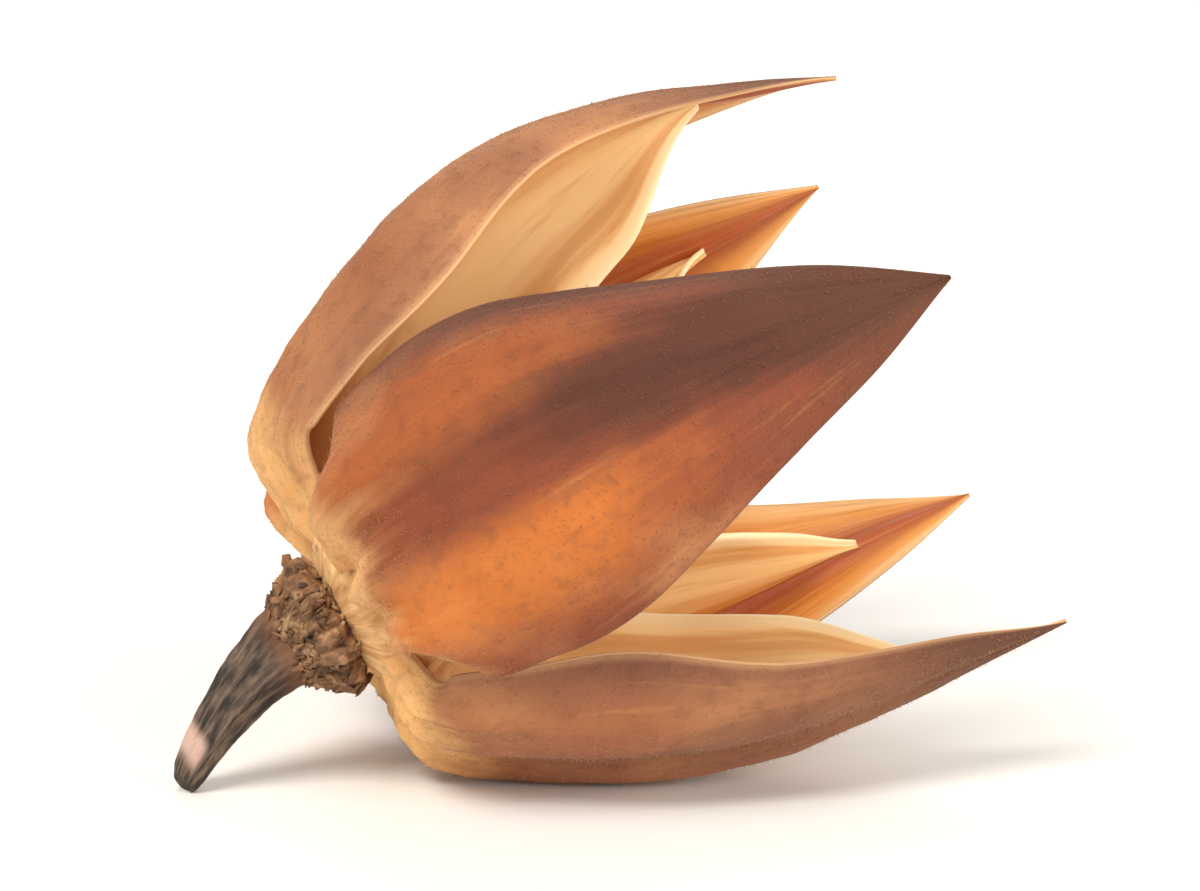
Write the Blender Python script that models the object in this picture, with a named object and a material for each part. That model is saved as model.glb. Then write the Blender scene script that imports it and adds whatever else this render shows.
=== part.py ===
"""A dried hibiscus seed pod, split open by its five seams, lying on its side as it was picked.

Metres, +Z up. The pod is modelled upright in its own frame: its axis on +Z, the place where the
five valves meet the receptacle at the origin. An empty then lays the whole pod down on the tip of
its stem and on the bellies of its two lowest valves.
"""

import math
from collections import namedtuple

import bmesh
import bpy
import numpy as np
from mathutils import Matrix, Vector

MM = 0.001

# How the pod lies: its axis over +X with the open mouth raised, on the tip of its stem and on the
# bellies of its two lowest valves. This tilt is a first guess, which the three points correct.
FIRST_TILT = math.radians(24.0)
RESTS_ON = ("low", "far_low")
RESTING_STEPS = 40
FLAT_DEPTH = 0.1 * MM

# One valve of the closed pod, from its root to its beak, in mm and degrees: height and radius of
# its middle line, half its width, and how far its cross-section turns from there to its margin.
STATIONS = (
    (0.0, 1.2, 1.1, 20.0),
    (0.2, 3.8, 2.9, 36.0),
    (1.1, 5.9, 4.4, 46.0),
    (4.4, 6.9, 5.2, 53.0),
    (9.5, 6.8, 5.3, 57.0),
    (13.0, 5.8, 4.4, 56.0),
    (16.4, 4.1, 3.1, 50.0),
    (19.6, 2.2, 1.7, 32.0),
    (22.6, 0.5, 0.42, 12.0),
)
ROOT_WALL = 0.85 * MM
BEAK_WALL = 0.6 * MM
BEND_LENGTH = 3.5 * MM
CURL_START = 0.4

# Relief of a valve: two lobes, a groove between them, folds over its root and waves along its
# margins. Widths are shares of the valve's half width, and starts and ends shares of its length.
LOBE_HEIGHT = 0.5 * MM
GROOVE_DEPTH = 0.6 * MM
GROOVE_WIDTH = 0.17
BODY_START = 0.15
FOLD_HEIGHT = 0.28 * MM
FOLD_COUNT = 3.5
FOLD_START = 0.08
FOLD_END = 0.42
FOLD_FADE = 0.3
MARGIN_WAVE = 0.35 * MM
MARGIN_WAVE_TURNS = 13.0
MARGIN_WAVE_LAG = 4.0
MARGIN_START = 0.45

# The five valves, by their place round the axis, with 0 straight below it. Each has opened at its
# root and curled back towards its beak, has its own share of the common girth, width and length,
# a twist, and a sideways sweep of its beak, in mm.
Valve = namedtuple("Valve", "name azimuth opening curl girth width length twist sweep phase")
VALVES = (
    Valve("near", -124.5, 19.0, 3.0, 1.04, 1.04, 0.95, -3.0, 1.3, 5.0),
    Valve("low", -36.0, 30.5, 3.0, 0.80, 0.80, 0.96, 4.0, 0.9, 1.2),
    Valve("far_low", 36.0, 29.0, 0.0, 0.84, 0.82, 0.98, 2.0, -0.4, 0.4),
    Valve("far", 96.0, 26.0, 6.0, 1.00, 0.90, 0.97, -4.0, 0.5, 2.1),
    Valve("top", 155.0, 25.5, 21.0, 0.95, 0.84, 1.05, 5.0, -0.5, 3.3),
)

# The septum, a thin plate that each valve carries on its middle line.
SEPTUM_WALL = 0.6 * MM
SEPTUM_LOW = 0.4 * MM
SEPTUM_BEND_HEIGHT = 13.0 * MM
SEPTUM_TOP = 18.8 * MM
SEPTUM_INSET = 0.35 * MM
SEPTUM_ROOT = 0.3 * MM
SEPTUM_END = 0.5 * MM
SEPTUM_WAVE = 0.3 * MM
SEPTUM_WAVE_TURNS = 4.0

# The floor of the pod, where valves and septa grow together: radius and height, in mm.
FLOOR_PROFILE = ((0.0, -0.6), (1.7, -0.6), (2.7, -0.1), (4.0, 1.1), (3.3, 2.1), (1.8, 2.7), (0.0, 2.9))
FLOOR_SIDES = 24

# What is left of the calyx, a torn disc under the pod: radius and height, in mm, then its tears.
GAP = 0.3 * MM
CALYX_PROFILE = (
    (0.0, -0.9), (1.5, -0.9), (2.1, -1.0), (2.0, -1.5), (1.65, -1.9), (1.35, -2.2), (0.0, -2.2)
)
CALYX_SIDES = 40
CALYX_TEAR = 0.4 * MM
CALYX_TEARS = 7
CALYX_STUB_MIDDLE = 0.5
CALYX_FRAY = 0.2 * MM
CALYX_FRAY_TURNS = (13, 19)
CALYX_SEED = 11

# The stem, a short woody stalk that tapers to where it broke off: its share of the length and its
# radius in mm there.
STEM_TOP = CALYX_PROFILE[-1][1] * MM - GAP
STEM_LENGTH = 5.0 * MM
STEM_SLANT = 2.4 * MM
STEM_DROOP = 1.5
STEM_RADII = ((0.0, 1.3), (0.12, 1.2), (0.4, 1.0), (0.75, 0.75), (0.94, 0.58), (1.0, 0.42))
STEM_SIDES = 12
STEM_RINGS = 14
STEM_RIDGES = 4
STEM_RIDGE_HEIGHT = 0.1
STEM_RIDGE_TWIST = 1.5

# Mesh fineness
MIDLINE_STEPS = 400
WALL_ROWS = 22
WALL_COLUMNS = 14
SEPTUM_ROWS = 14
SEPTUM_COLUMNS = 3
CUTTER_SIZE = 80 * MM
SAME_PLACE = 0.001 * MM
SHARP_ANGLE = math.radians(50)


def smooth_step(x):
    x = np.clip(x, 0.0, 1.0)
    return x * x * (3 - 2 * x)


def curve_through(knots, values, x):
    """A smooth curve through (knots, values), read at x."""
    knots, values, x = np.asarray(knots), np.asarray(values), np.asarray(x, float)
    slopes = np.gradient(values, knots)
    i = np.clip(np.searchsorted(knots, x, side="right") - 1, 0, len(knots) - 2)
    span = knots[i + 1] - knots[i]
    t = (x - knots[i]) / span
    rise = values[i + 1] - values[i]
    first, last = slopes[i] * span, slopes[i + 1] * span
    return values[i] + t * (first + t * (3 * rise - 2 * first - last + t * (first + last - 2 * rise)))


def valve_stations():
    """Distance along the closed middle line, and the station columns, in metres and radians."""
    height, radius, width, turn = np.array(STATIONS).T
    steps = np.hypot(np.diff(height), np.diff(radius)) * MM
    along = np.concatenate([[0.0], np.cumsum(steps)])
    return along, height * MM, radius * MM, width * MM, np.radians(turn)


def closed_line(valve):
    """(share of the length, radius, height) of a closed valve's middle line, in fine even steps."""
    along, height, radius, _, _ = valve_stations()
    distance = np.linspace(0, along[-1], MIDLINE_STEPS)
    radius = curve_through(along, radius, distance) * valve.girth
    return distance / along[-1], radius, curve_through(along, height, distance)


def turn_along(valve, share):
    """How far the valve has turned outwards from its closed place, at each share of its length."""
    opened = smooth_step(share * valve_stations()[0][-1] / BEND_LENGTH)
    curled = smooth_step((share - CURL_START) / (1 - CURL_START))
    return np.radians(valve.opening * opened - valve.curl * curled)


def opened_line(valve):
    """The middle line of a valve that has bent outwards at its root: radius and height."""
    share, radius, height = closed_line(valve)
    turn = turn_along(valve, (share[1:] + share[:-1]) / 2)
    outward, upward = np.diff(radius) * valve.length, np.diff(height) * valve.length
    opened_out = outward * np.cos(turn) + upward * np.sin(turn)
    opened_up = upward * np.cos(turn) - outward * np.sin(turn)
    return (
        radius[0] + np.concatenate([[0.0], np.cumsum(opened_out)]),
        height[0] + np.concatenate([[0.0], np.cumsum(opened_up)]),
    )


def line_frame(valve, share):
    """Place and outward normal of the opened middle line, each as (radius, height), at each share."""
    fine, _, _ = closed_line(valve)
    radius, height = opened_line(valve)
    slope = np.stack([np.gradient(radius, fine), np.gradient(height, fine)])
    slope /= np.linalg.norm(slope, axis=0)
    place = np.stack([np.interp(share, fine, radius), np.interp(share, fine, height)])
    normal = np.stack([np.interp(share, fine, slope[1]), -np.interp(share, fine, slope[0])])
    return place, normal / np.linalg.norm(normal, axis=0)


def around_axis(radial, sideways, height, azimuth):
    """Points of a valve's own frame, turned to the valve's place round the axis."""
    turn = math.radians(azimuth)
    return np.stack(
        [
            radial * math.cos(turn) - sideways * math.sin(turn),
            radial * math.sin(turn) + sideways * math.cos(turn),
            height + 0 * radial,
        ],
        axis=-1,
    )


def valve_surface(valve, share, across, relief):
    """Points of a valve from root (share 0) to beak (1) and from margin (-1) to margin (1)."""
    along, _, _, width, turn = valve_stations()
    half = curve_through(along, width, share * along[-1]) * valve.width
    turn = curve_through(along, turn, share * along[-1])
    sideways = half * np.sin(across * turn) / np.sin(turn)
    out = -half * (1 - np.cos(across * turn)) / np.sin(turn)

    body = smooth_step(share / BODY_START) * half / half.max()
    out = out + LOBE_HEIGHT * body * half / half.max() * np.sin(math.pi * across) ** 2
    margin = smooth_step((np.abs(across) - MARGIN_START) / (1 - MARGIN_START))
    wave = np.sin(MARGIN_WAVE_TURNS * share + valve.phase + MARGIN_WAVE_LAG / 2 * np.sign(across))
    out = out + MARGIN_WAVE * body * margin * wave
    if relief:
        root = smooth_step(share / FOLD_START) * smooth_step((FOLD_END - share) / FOLD_FADE)
        out = out - GROOVE_DEPTH * body * np.exp(-((across / GROOVE_WIDTH) ** 2))
        out = out + FOLD_HEIGHT * root * np.cos(math.pi * FOLD_COUNT * across + valve.phase)
    sideways = sideways + valve.sweep * MM * share**2

    twist = math.radians(valve.twist) * share**2
    sideways, out = (
        sideways * np.cos(twist) - out * np.sin(twist),
        sideways * np.sin(twist) + out * np.cos(twist),
    )
    (radius, height), (normal_out, normal_up) = line_frame(valve, share)
    return around_axis(radius + out * normal_out, sideways, height + out * normal_up, valve.azimuth)


def moved_inwards(grid, depth):
    """The grid moved along its own surface normal, to the inside of the wall."""
    normal = np.cross(np.gradient(grid, axis=1), np.gradient(grid, axis=0))
    normal /= np.linalg.norm(normal, axis=-1, keepdims=True)
    return grid - normal * depth


def slab(outer, inner):
    """Points and triangles of the closed sheet between two like grids, split alike on both faces."""
    rows, columns = outer.shape[:2]
    points = np.concatenate([outer.reshape(-1, 3), inner.reshape(-1, 3)])

    def corner(side, i, j):
        return side * rows * columns + i * columns + j

    faces = []
    for i in range(rows - 1):
        for j in range(columns - 1):
            halves = ((i, j), (i, j + 1), (i + 1, j + 1)), ((i, j), (i + 1, j + 1), (i + 1, j))
            for half in halves:
                faces.append([corner(0, *c) for c in half])
                faces.append([corner(1, *c) for c in reversed(half)])
    rim = [(0, j) for j in range(columns)]
    rim += [(i, columns - 1) for i in range(1, rows)]
    rim += [(rows - 1, j) for j in range(columns - 2, -1, -1)]
    rim += [(i, 0) for i in range(rows - 2, 0, -1)]
    for a, b in zip(rim, rim[1:] + rim[:1]):
        faces.append([corner(0, *a), corner(1, *a), corner(1, *b), corner(0, *b)])
    return points, faces


def valve_wall(valve):
    """One valve: its outside has grooves and folds, which its smooth inside doesn't repeat."""
    share = np.linspace(0, 1, WALL_ROWS + 1)[:, None]
    across = np.linspace(-1, 1, WALL_COLUMNS + 1)[None, :]
    thickness = ROOT_WALL + (BEAK_WALL - ROOT_WALL) * share[..., None]
    inside = moved_inwards(valve_surface(valve, share, across, relief=False), thickness)
    return slab(valve_surface(valve, share, across, relief=True), inside)


def septum_plate(valve):
    """The plate from a valve's middle line to the pod's axis, rounded off below the beak."""
    share, radius, height = closed_line(valve)
    level = np.linspace(SEPTUM_LOW, SEPTUM_TOP, SEPTUM_ROWS + 1)
    share = np.interp(level, height, share)
    depth = (np.interp(level, height, radius) - SEPTUM_INSET) * valve.length
    place, normal = line_frame(valve, share)
    root = place - normal * (GROOVE_DEPTH * smooth_step(share / BODY_START) + SEPTUM_ROOT)

    # The free edge lay along the axis and has turned outwards with the valve. Its upper end runs
    # out to the wall.
    turn = turn_along(valve, share)
    straight = place + depth * np.stack([-np.cos(turn), np.sin(turn)])
    rounding = np.clip((level - SEPTUM_BEND_HEIGHT) / (SEPTUM_TOP - SEPTUM_BEND_HEIGHT), 0, 1) ** 2
    edge = straight * (1 - rounding) + (root - normal * SEPTUM_END) * rounding

    inward = np.linspace(0, 1, SEPTUM_COLUMNS + 1)[None, :]
    radial, upright = root[..., None] * (1 - inward) + edge[..., None] * inward
    share = share[:, None]
    wave = SEPTUM_WAVE * np.sin(math.pi * inward) * np.sin(SEPTUM_WAVE_TURNS * share + valve.phase)
    middle = wave + valve.sweep * MM * share**2
    sides = [
        around_axis(radial, middle + side * SEPTUM_WALL / 2, upright, valve.azimuth) for side in (-1, 1)
    ]
    return slab(*sides)


def outward_mesh(name, work):
    """A mesh from this working mesh, with every face pointing out."""
    bmesh.ops.recalc_face_normals(work, faces=work.faces)
    mesh = bpy.data.meshes.new(name)
    work.to_mesh(mesh)
    work.free()
    return mesh


def sheet_mesh(name, points, faces):
    work = bmesh.new()
    corners = [work.verts.new(point) for point in points]
    for face in faces:
        work.faces.new([corners[i] for i in face])
    return outward_mesh(name, work)


def turned_body(profile, sides):
    """A working mesh of the profile spun round the axis, on which its two ends lie."""
    work = bmesh.new()
    corners = [work.verts.new((radius * MM, 0, height * MM)) for radius, height in profile]
    edges = [work.edges.new(pair) for pair in zip(corners, corners[1:])]
    bmesh.ops.spin(
        work, geom=corners + edges, axis=(0, 0, 1), cent=(0, 0, 0), angle=2 * math.pi, steps=sides
    )
    bmesh.ops.remove_doubles(work, verts=work.verts, dist=SAME_PLACE)
    return work


def torn_calyx():
    """The calyx disc, with tears between its stubs and a frayed rim."""
    work = turned_body(CALYX_PROFILE, CALYX_SIDES)
    rng = np.random.default_rng(CALYX_SEED)
    tear_phase, *fray_phases = rng.uniform(0, 2 * math.pi, 1 + len(CALYX_FRAY_TURNS))
    widest = max(radius for radius, _ in CALYX_PROFILE) * MM
    for corner in work.verts:
        radius = corner.co.xy.length
        if radius < SAME_PLACE:
            continue
        angle = math.atan2(corner.co.y, corner.co.x)
        stub = abs(math.sin(angle * CALYX_TEARS / 2 + tear_phase)) - CALYX_STUB_MIDDLE
        fray = sum(math.sin(angle * n + phase) for n, phase in zip(CALYX_FRAY_TURNS, fray_phases))
        wider = (CALYX_TEAR * stub + CALYX_FRAY * fray / 2) * (radius / widest) ** 2
        corner.co.xy *= (radius + wider) / radius
    return outward_mesh("calyx_remains", work)


def tapering_stem():
    """A tapering stalk, ridged along its length and slanting to the side on which the pod lies."""
    work = bmesh.new()
    shares, radii = np.array(STEM_RADII).T
    rings = []
    for share in np.linspace(0, 1, STEM_RINGS + 1):
        corners = []
        for angle in np.arange(STEM_SIDES) * 2 * math.pi / STEM_SIDES:
            ridge = STEM_RIDGE_HEIGHT * math.cos(STEM_RIDGES * angle + STEM_RIDGE_TWIST * share)
            radius = curve_through(shares, radii * MM, share) * (1 + ridge)
            slant = STEM_SLANT * share**STEM_DROOP
            height = STEM_TOP - STEM_LENGTH * share
            corners.append((slant + radius * math.cos(angle), radius * math.sin(angle), height))
        rings.append([work.verts.new(corner) for corner in corners])
    loops = [work.edges.new(pair) for ring in rings for pair in zip(ring, ring[1:] + ring[:1])]
    for start in range(0, len(loops) - STEM_SIDES, STEM_SIDES):
        bmesh.ops.bridge_loops(work, edges=loops[start : start + 2 * STEM_SIDES])
    work.faces.new(rings[0])
    work.faces.new(rings[-1])
    return outward_mesh("stem", work)


def new_object(name, mesh, collection):
    made = bpy.data.objects.new(name, mesh)
    collection.objects.link(made)
    return made


def joined_capsule(collection):
    """Five valves, five septa and the pod's floor, grown together into one body."""
    growths = bpy.data.collections.new("growths")
    bpy.context.scene.collection.children.link(growths)
    for valve in VALVES:
        new_object("wall_" + valve.name, sheet_mesh("wall", *valve_wall(valve)), growths)
        new_object("septum_" + valve.name, sheet_mesh("septum", *septum_plate(valve)), growths)
    floor = outward_mesh("capsule", turned_body(FLOOR_PROFILE, FLOOR_SIDES))
    capsule = new_object("capsule", floor, collection)
    union = capsule.modifiers.new("grown together", "BOOLEAN")
    union.operation = "UNION"
    union.operand_type = "COLLECTION"
    union.collection = growths
    union.solver = "MANIFOLD"
    bpy.context.view_layer.update()
    graph = bpy.context.evaluated_depsgraph_get()
    whole = bpy.data.meshes.new_from_object(capsule.evaluated_get(graph))
    capsule.modifiers.clear()
    capsule.data = whole
    for helper in list(growths.objects):
        bpy.data.objects.remove(helper)
    bpy.data.collections.remove(growths)
    return capsule


def resting_place(stem):
    """The turn and place that lay the pod down on its stem's tip and its two lowest valves."""
    stalk = np.array([corner.co for corner in stem.vertices])
    walls = {valve.name: valve_wall(valve)[0] for valve in VALVES}
    supports = [stalk] + [walls[name] for name in RESTS_ON]
    upright = Vector((0, 0, 1))
    turn = Matrix.Rotation(math.pi / 2 - FIRST_TILT, 3, "Y")
    for _ in range(RESTING_STEPS):
        turned = [points @ np.array(turn).T for points in supports]
        back, left, right = (Vector(points[points[:, 2].argmin()]) for points in turned)
        level = (left - back).cross(right - back).normalized()
        if level.z < 0:
            level.negate()
        turn = level.rotation_difference(upright).to_matrix() @ turn
    axis = turn @ upright
    turn = Matrix.Rotation(-math.atan2(axis.y, axis.x), 3, "Z") @ turn

    whole = np.concatenate([stalk, *walls.values()]) @ np.array(turn).T
    middle = (whole.min(axis=0) + whole.max(axis=0)) / 2
    return turn, (-middle[0], -middle[1], -whole[:, 2].min() - FLAT_DEPTH)


def plain_material(name, colour, roughness):
    material = bpy.data.materials.new(name)
    material.use_nodes = True
    shader = material.node_tree.nodes["Principled BSDF"]
    shader.inputs["Base Color"].default_value = (*colour, 1.0)
    shader.inputs["Roughness"].default_value = roughness
    shader.inputs["Metallic"].default_value = 0.0
    material.diffuse_color = (*colour, 1.0)
    return material


def finish(made, material, pod, cutter):
    """Gives a piece its material, lays it down with the pod and flattens it where it touches."""
    made.data.materials.clear()
    made.data.materials.append(material)
    made.data.shade_smooth()
    made.data.set_sharp_from_angle(angle=SHARP_ANGLE)
    made.parent = pod
    flat = made.modifiers.new("flat where it lies", "BOOLEAN")
    flat.operation = "DIFFERENCE"
    flat.object = cutter
    flat.solver = "EXACT"


def floor_cutter(collection):
    cutter_mesh = bpy.data.meshes.new("floor")
    work = bmesh.new()
    bmesh.ops.create_cube(work, size=CUTTER_SIZE)
    work.to_mesh(cutter_mesh)
    work.free()
    cutter = new_object("floor_cutter", cutter_mesh, collection)
    cutter.location = (0, 0, -CUTTER_SIZE / 2)
    cutter.hide_render = True
    cutter.display_type = "WIRE"
    return cutter


def main():
    for old in list(bpy.data.objects):
        bpy.data.objects.remove(old)
    scene = bpy.context.scene.collection

    stem = new_object("stem", tapering_stem(), scene)
    calyx = new_object("calyx_remains", torn_calyx(), scene)
    capsule = joined_capsule(scene)

    turn, place = resting_place(stem.data)
    pod = new_object("pod", None, scene)
    pod.location = place
    pod.rotation_euler = turn.to_euler()
    cutter = floor_cutter(scene)
    finish(capsule, plain_material("dried valve", (0.36, 0.17, 0.075), 0.75), pod, cutter)
    finish(calyx, plain_material("torn calyx", (0.42, 0.27, 0.14), 0.85), pod, cutter)
    finish(stem, plain_material("woody stem", (0.085, 0.065, 0.05), 0.85), pod, cutter)


main()
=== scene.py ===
"""A dried hibiscus seed pod, split open by its five seams and lying on its side."""

import math
from collections import namedtuple

import bmesh
import bpy
import numpy as np
from mathutils import Euler, Matrix, Vector


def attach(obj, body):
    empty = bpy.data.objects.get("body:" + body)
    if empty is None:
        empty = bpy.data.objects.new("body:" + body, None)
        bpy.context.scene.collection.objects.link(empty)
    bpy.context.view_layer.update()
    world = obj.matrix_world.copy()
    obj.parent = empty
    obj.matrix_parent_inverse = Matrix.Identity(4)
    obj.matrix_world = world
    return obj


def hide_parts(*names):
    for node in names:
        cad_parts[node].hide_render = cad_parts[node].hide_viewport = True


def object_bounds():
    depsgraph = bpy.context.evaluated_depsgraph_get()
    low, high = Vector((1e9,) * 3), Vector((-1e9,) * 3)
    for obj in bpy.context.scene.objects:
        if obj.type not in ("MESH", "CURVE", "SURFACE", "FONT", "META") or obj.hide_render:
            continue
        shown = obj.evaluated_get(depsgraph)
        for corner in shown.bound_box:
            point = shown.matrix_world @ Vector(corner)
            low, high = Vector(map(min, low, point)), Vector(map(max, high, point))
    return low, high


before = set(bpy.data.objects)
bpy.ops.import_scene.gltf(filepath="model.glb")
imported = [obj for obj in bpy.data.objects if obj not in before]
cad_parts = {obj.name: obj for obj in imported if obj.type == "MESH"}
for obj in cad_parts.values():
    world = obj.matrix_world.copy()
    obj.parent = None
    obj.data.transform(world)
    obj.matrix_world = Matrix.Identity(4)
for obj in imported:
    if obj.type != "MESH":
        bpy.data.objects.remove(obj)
cad_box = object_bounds()

# The valves: five boat-shaped walls of dry, woody fruit skin, grown as one body round the pod's axis.
# Each has split from its neighbours down to the base and bent outwards. Its outside is ribbed in two
# lobes with a groove between them, brown and matt. Its inside is smooth, amber and satin.
MM = 0.001

# The pod is made upright, with its axis along Z, and then laid down as it rests on its side.
laid_down = Matrix.LocRotScale(
    Vector((-8.2598, -0.6694, 5.6534)) * MM,
    Euler([math.radians(angle) for angle in (2.5427, 64.7089, 2.8119)]),
    None,
)

# One valve of the closed pod, from root to beak, in mm and degrees: height and radius of its middle
# line, half its width, and how far its cross-section turns from there to its margin.
VALVE_STATIONS = (
    (0.0, 1.2, 1.1, 20.0),
    (0.2, 3.8, 2.9, 36.0),
    (1.1, 5.9, 4.4, 46.0),
    (4.4, 6.9, 5.2, 53.0),
    (9.5, 6.8, 5.3, 57.0),
    (13.0, 5.8, 4.4, 56.0),
    (16.4, 4.1, 3.1, 50.0),
    (19.6, 2.2, 1.7, 32.0),
    (22.6, 0.5, 0.06, 12.0),
)

# A valve bends outwards over its first few mm. The next four are shares of its length: where it starts
# to curl, has its full body, has its even wall and starts to thin to its beak. The rest is how thick
# its wall is, by what share it thins at its margin and beak, its rolled lip and its groove.
BEND_LENGTH = 3.5 * MM
CURL_START = 0.4
BODY_START = 0.15
ROOT_END = 0.42
BEAK_START = 0.88
WALL_AT_ROOT = 0.78 * MM
WALL_AT_BEAK = 0.32 * MM
THINNER_AT_MARGIN = 0.6
THINNER_AT_BEAK = 0.6
ROLLED_LIP = 0.12 * MM
GROOVE_DEPTH = 0.6 * MM

# Every valve by its place round the axis, how far it has opened at its root and curls inwards again
# to its beak, its share of the common girth, width and length, its twist, the sweep of its beak in mm,
# where its waves start, and how dark it has ripened. The far one's margin is laid over its neighbour's.
Valve = namedtuple("Valve", "name azimuth opening curl girth width length twist sweep phase ripeness")
VALVES = (
    Valve("near", -124.5, 19.0, 3.0, 1.04, 1.04, 0.95, -3.0, 1.3, 5.0, 1.0),
    Valve("low", -36.0, 30.5, 3.0, 0.80, 0.80, 0.96, 4.0, 0.9, 1.2, 0.3),
    Valve("far_low", 36.0, 29.0, 0.0, 0.84, 0.82, 0.98, 2.0, -0.4, 0.4, 0.45),
    Valve("far", 96.0, 26.0, 6.0, 1.00, 0.90, 0.97, -4.0, 0.5, 2.1, 0.7),
    Valve("top", 155.0, 25.5, 21.0, 0.95, 0.84, 1.05, 5.0, -0.5, 3.3, 0.1),
)
LAID_OVER = {"far": 0.8 * MM}


def smooth_step(x):
    """From 0 to 1 as x does, level at both ends."""
    x = np.clip(x, 0.0, 1.0)
    return x * x * (3 - 2 * x)


def curve_through(knots, values, x):
    """A smooth curve through (knots, values), read at x."""
    knots, values, x = np.asarray(knots), np.asarray(values), np.asarray(x, float)
    slopes = np.gradient(values, knots)
    i = np.clip(np.searchsorted(knots, x, side="right") - 1, 0, len(knots) - 2)
    span = knots[i + 1] - knots[i]
    t = (x - knots[i]) / span
    rise = values[i + 1] - values[i]
    first, last = slopes[i] * span, slopes[i + 1] * span
    return values[i] + t * (first + t * (3 * rise - 2 * first - last + t * (first + last - 2 * rise)))


def valve_stations():
    """Distance along the closed middle line, and the station columns, in metres and radians."""
    height, radius, width, turn = np.array(VALVE_STATIONS).T
    steps = np.hypot(np.diff(height), np.diff(radius)) * MM
    along = np.concatenate([[0.0], np.cumsum(steps)])
    return along, height * MM, radius * MM, width * MM, np.radians(turn)


def closed_line(valve):
    """(share of the length, radius, height) of a closed valve's middle line."""
    along, height, radius, _, _ = valve_stations()
    distance = np.linspace(0, along[-1], 400)
    radius = curve_through(along, radius, distance) * valve.girth
    return distance / along[-1], radius, curve_through(along, height, distance)


def turn_along(valve, share):
    """How far the valve has turned outwards from its closed place, at each share of its length."""
    opened = smooth_step(share * valve_stations()[0][-1] / BEND_LENGTH)
    curled = smooth_step((share - CURL_START) / (1 - CURL_START))
    return np.radians(valve.opening * opened - valve.curl * curled)


def line_frame(valve, share):
    """Place and outward normal of the opened middle line, each as (radius, height), at each share."""
    fine, radius, height = closed_line(valve)
    turn = turn_along(valve, (fine[1:] + fine[:-1]) / 2)
    outward, upward = np.diff(radius) * valve.length, np.diff(height) * valve.length
    opened_out = np.cumsum(outward * np.cos(turn) + upward * np.sin(turn))
    opened_up = np.cumsum(upward * np.cos(turn) - outward * np.sin(turn))
    radius = radius[0] + np.concatenate([[0.0], opened_out])
    height = height[0] + np.concatenate([[0.0], opened_up])
    slope = np.stack([np.gradient(radius, fine), np.gradient(height, fine)])
    slope /= np.linalg.norm(slope, axis=0)
    place = np.stack([np.interp(share, fine, radius), np.interp(share, fine, height)])
    normal = np.stack([np.interp(share, fine, slope[1]), -np.interp(share, fine, slope[0])])
    return place, normal / np.linalg.norm(normal, axis=0)


def around_axis(radial, sideways, height, azimuth):
    """Points of a valve's own frame, turned to the valve's place round the axis."""
    turn = math.radians(azimuth)
    x = radial * math.cos(turn) - sideways * math.sin(turn)
    y = radial * math.sin(turn) + sideways * math.cos(turn)
    return np.stack([x, y, height + 0 * radial], axis=-1)


def valve_curve(valve, share, across):
    """The plain curved sheet of a valve, and at each point the direction in which its relief stands."""
    along, _, _, width, turn = valve_stations()
    half = curve_through(along, width, share * along[-1]) * valve.width
    turn = curve_through(along, turn, share * along[-1])
    sideways = half * np.sin(across * turn) / np.sin(turn) + valve.sweep * MM * share**2
    out = -half * (1 - np.cos(across * turn)) / np.sin(turn)
    twist = math.radians(valve.twist) * share**2
    (radius, height), (normal_out, normal_up) = line_frame(valve, share)
    over = sideways * np.sin(twist) + out * np.cos(twist)
    aside = sideways * np.cos(twist) - out * np.sin(twist)
    sheet = around_axis(radius + over * normal_out, aside, height + over * normal_up, valve.azimuth)
    relief = around_axis(
        np.cos(twist) * normal_out, -np.sin(twist), np.cos(twist) * normal_up, valve.azimuth
    )
    return sheet, relief, half / width.max()


def wall_loop(columns, rim):
    """One turn round a wall's edge: place across it, depth through it, and reach past its margin."""
    outside = np.linspace(-1, 1, columns)
    inside = np.linspace(1, -1, columns)
    bend = np.linspace(0, math.pi, rim + 2)[1:-1]
    across = np.concatenate([outside, np.ones(rim), inside, -np.ones(rim)])
    depth = np.concatenate([0 * outside, (1 - np.cos(bend)) / 2, 1 + 0 * inside, (1 + np.cos(bend)) / 2])
    past = np.concatenate([0 * outside, np.sin(bend), 0 * inside, np.sin(bend)])
    return np.stack([across, depth, past])


def closed_wall(name, sheet, side, outward, loop, thickness, lip, notes):
    """A closed mesh with one loop in each row of the sheet. Notes are kept as its attributes."""
    across, depth, past = loop
    rows, corners = sheet.shape[:2]
    side = side / np.linalg.norm(side, axis=-1, keepdims=True)
    normal = outward - side * np.sum(outward * side, axis=-1, keepdims=True)
    normal /= np.linalg.norm(normal, axis=-1, keepdims=True)
    beyond = (past * np.sign(across))[None, :] * lip
    points = sheet - normal * (depth[None, :] * thickness)[..., None] + side * beyond[..., None]
    faces = []
    for low in range(0, (rows - 1) * corners, corners):
        for j in range(corners):
            k = (j + 1) % corners
            faces.append((low + j, low + k, low + corners + k, low + corners + j))
    faces.append(tuple(range(corners)))
    faces.append(tuple((rows - 1) * corners + j for j in reversed(range(corners))))
    mesh = bpy.data.meshes.new(name)
    mesh.from_pydata(points.reshape(-1, 3).tolist(), [], faces)
    for label, values in notes.items():
        values = np.asarray(values, dtype=np.float32)
        if values.ndim == 3:
            mesh.attributes.new(label, "FLOAT_VECTOR", "POINT").data.foreach_set("vector", values.ravel())
        else:
            values = np.broadcast_to(values, (rows, corners)).ravel()
            mesh.attributes.new(label, "FLOAT", "POINT").data.foreach_set("value", values)
    return mesh


def wall_at_middle(share):
    """The thickness of a valve's wall along its middle line."""
    return WALL_AT_ROOT + (WALL_AT_BEAK - WALL_AT_ROOT) * smooth_step(share / ROOT_END)


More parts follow.
